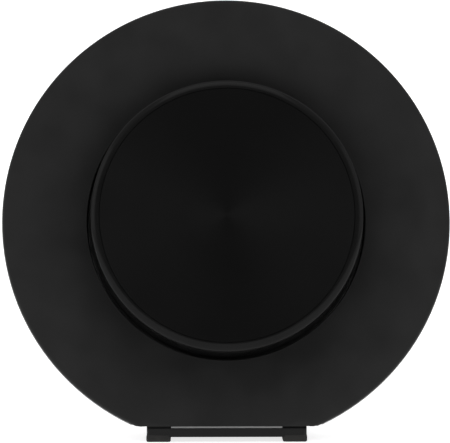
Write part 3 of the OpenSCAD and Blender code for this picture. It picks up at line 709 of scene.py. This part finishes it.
# %% Circuit board finish
def circuit_board():
    """Green solder mask over copper tracks, which show as slightly raised lighter lines."""
    material, tree, surface = shader("green_circuit_board", 0.32)
    spot = node_of(tree, "ShaderNodeTexCoord").outputs["Object"]
    turn = node_of(tree, "ShaderNodeMapping")
    turn.inputs["Rotation"].default_value = (lean - math.pi / 2, 0, 0)
    tree.links.new(spot, turn.inputs["Vector"])
    tracks = node_of(tree, "ShaderNodeTexBrick", Scale=330.0)
    tracks.inputs["Color1"].default_value = (0.012, 0.085, 0.035, 1)
    tracks.inputs["Color2"].default_value = (0.016, 0.1, 0.042, 1)
    tracks.inputs["Mortar"].default_value = (0.035, 0.19, 0.08, 1)
    tracks.inputs["Mortar Size"].default_value = 0.06
    tree.links.new(turn.outputs["Vector"], tracks.inputs["Vector"])
    tree.links.new(tracks.outputs["Color"], surface.inputs["Base Color"])
    tree.links.new(relief(tree, tracks.outputs["Fac"], 0.03 * MM, 0.5), surface.inputs["Normal"])
    return material


board_green = circuit_board()

# %% Give each CAD node its finish
finish_by_slot = {
    **inside, "board_green": board_green, "cover_black": cover_black, "trim_silver": trim_silver,
    "rear_black": rear_black, "foot_black": foot_black, "pad_rubber": pad_black, "dial_black": rim_black,
    "face_spun": face_black, "button_black": button_black,
}
for part in frame["record"]["subparts"]:
    paint(nodes[part["node"]], finish_by_slot[part["material_slot"]])
for piece, slot in ((springs, "spring_steel"), (film, "flex_amber"), (socket, "socket_metal"),
                    (port, "socket_metal"), (contacts, "antenna_gold")):
    paint(piece, finish_by_slot[slot])

# %% [markdown]
# ## Stage, light and camera
# The hub stands on a pale sweep. The surroundings are white at the back and sides and dimmer in front,
# as in a studio with a large tent open towards the camera, which is what keeps black plastic black.

# %% Floor that sweeps up behind
FLOOR_HALF = 2.5
SWEEP_R = 0.8
SWEEP_STEPS = 24
SWEEP_WALL = 2.0
FLOOR_GLOW = 0.75
bpy.ops.object.select_all(action="DESELECT")
bpy.ops.mesh.primitive_plane_add(size=2 * FLOOR_HALF)
floor = bpy.context.object
floor.name = "pale_floor"
bpy.ops.object.mode_set(mode="EDIT")
bpy.ops.mesh.select_all(action="DESELECT")
bpy.ops.object.mode_set(mode="OBJECT")
for edge in floor.data.edges:
    edge.select = all(floor.data.vertices[v].co.y > 0 for v in edge.vertices)
bpy.ops.object.mode_set(mode="EDIT")
bpy.ops.mesh.select_mode(type="EDGE")
bpy.ops.mesh.spin(steps=SWEEP_STEPS, angle=-math.pi / 2, center=(0, FLOOR_HALF, SWEEP_R), axis=(1, 0, 0))
bpy.ops.mesh.extrude_region_move(TRANSFORM_OT_translate={"value": (0, 0, SWEEP_WALL)})
bpy.ops.object.mode_set(mode="OBJECT")
shade(floor)
lit_white = finish_of("lit_white_floor", grey(0.80), grey(0.82), 0.7, 0.04, mottle=3, grain=300,
                      depth=0.01 * MM, specular=0.2)
glow = lit_white.node_tree.nodes["Principled BSDF"]
glow.inputs["Emission Color"].default_value = (1, 1, 1, 1)
glow.inputs["Emission Strength"].default_value = FLOOR_GLOW
paint(floor, lit_white)
print("floor reaches", [round(v, 2) for v in floor.dimensions])


# %% Surroundings
FRONT_GLOW, BACK_GLOW = 0.05, 0.6
DIM_TO, BRIGHT_FROM = -0.95, -0.35          # where along Y the dim front ends and the bright tent begins


def tent(front, back):
    world = bpy.data.worlds.new("studio_tent")
    world.use_nodes = True
    tree = world.node_tree
    way = node_of(tree, "ShaderNodeTexCoord").outputs["Generated"]
    split = node_of(tree, "ShaderNodeSeparateXYZ")
    tree.links.new(way, split.inputs["Vector"])
    glow = spread(tree, split.outputs["Y"], front, back, DIM_TO, BRIGHT_FROM)
    tree.links.new(glow, tree.nodes["Background"].inputs["Strength"])
    tree.nodes["Background"].inputs["Color"].default_value = (1, 1, 1, 1)
    bpy.context.scene.world = world


tent(FRONT_GLOW, BACK_GLOW)


# %% Lights
def softbox(name, place_at, aim, size, power):
    bpy.ops.object.light_add(type="AREA", location=place_at)
    lamp = bpy.context.object
    lamp.name = name
    lamp.data.shape = "SQUARE"
    lamp.data.size = size
    lamp.data.energy = power
    lamp.rotation_euler = (Vector(aim) - Vector(place_at)).to_track_quat("-Z", "Y").to_euler()
    return lamp


softbox("top_box", (0, -0.35, 1.1), disc_centre, 0.9, 3)
softbox("left_box", (-1.0, -0.35, 0.45), disc_centre, 0.7, 1.5)
softbox("right_box", (1.0, -0.35, 0.45), disc_centre, 0.7, 0.8)
bpy.context.scene.view_settings.view_transform = "Standard"

# %% Camera
CAMERA_FAR = 0.7
SENSOR_WIDTH = 36
CAMERA_UP = math.radians(2.5)
CAMERA_LEFT = math.radians(0.87)
VIEW_WIDTH = 140.55 * MM       # how much is seen, side to side, at the disc's distance
AIM_OFFSET = Vector((-0.43 * MM, 0, -0.46 * MM))
toward = Vector((-math.sin(CAMERA_LEFT), -math.cos(CAMERA_LEFT) * math.cos(CAMERA_UP), math.sin(CAMERA_UP)))
camera_data = bpy.data.cameras.new("camera")
camera_data.sensor_width = SENSOR_WIDTH
camera_data.lens = camera_data.sensor_width * CAMERA_FAR / VIEW_WIDTH
camera = bpy.data.objects.new("camera", camera_data)
bpy.context.scene.collection.objects.link(camera)
aim_at = disc_centre + AIM_OFFSET
camera.location = aim_at + toward.normalized() * CAMERA_FAR
camera.rotation_euler = (-toward).to_track_quat("-Z", "Y").to_euler()
bpy.context.scene.camera = camera
print(f"camera lens {camera_data.lens:.0f} mm")
